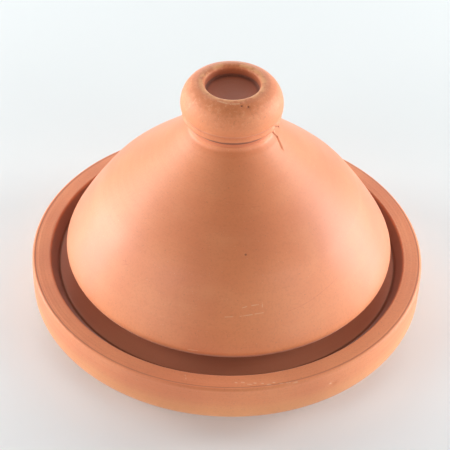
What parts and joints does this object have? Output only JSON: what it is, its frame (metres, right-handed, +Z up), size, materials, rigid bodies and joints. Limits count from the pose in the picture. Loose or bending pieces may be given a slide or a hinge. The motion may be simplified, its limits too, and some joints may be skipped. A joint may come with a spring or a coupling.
{
  "type": "tagine pot",
  "caption": "Round unglazed terracotta tagine: a shallow heavy dish with a flat rim, and a tall conical lid with a cupped knob, loose in the dish.",
  "frame": {"origin": "middle of the dish's flat foot, on the surface it stands on", "axes": "+Z up the dish's axis towards the knob, +X towards the side that the lid sits nearer to"},
  "size_m": [0.301, 0.301, 0.2035],
  "materials": {
    "dish_clay": "matte",
    "lid_clay": "matte",
    "knob_clay": "matte"
  },
  "bodies": {
    "dish": {"dish": "dish_clay"},
    "lid": {"lid_cone": "lid_clay", "neck_ring": "knob_clay", "lid_knob": "knob_clay"}
  },
  "joints": [
    {"name": "lid_lift", "type": "slide", "parent": "dish", "child": "lid", "axis": [0, 0, 1], "range_m": [0, 0.2]}
  ]
}
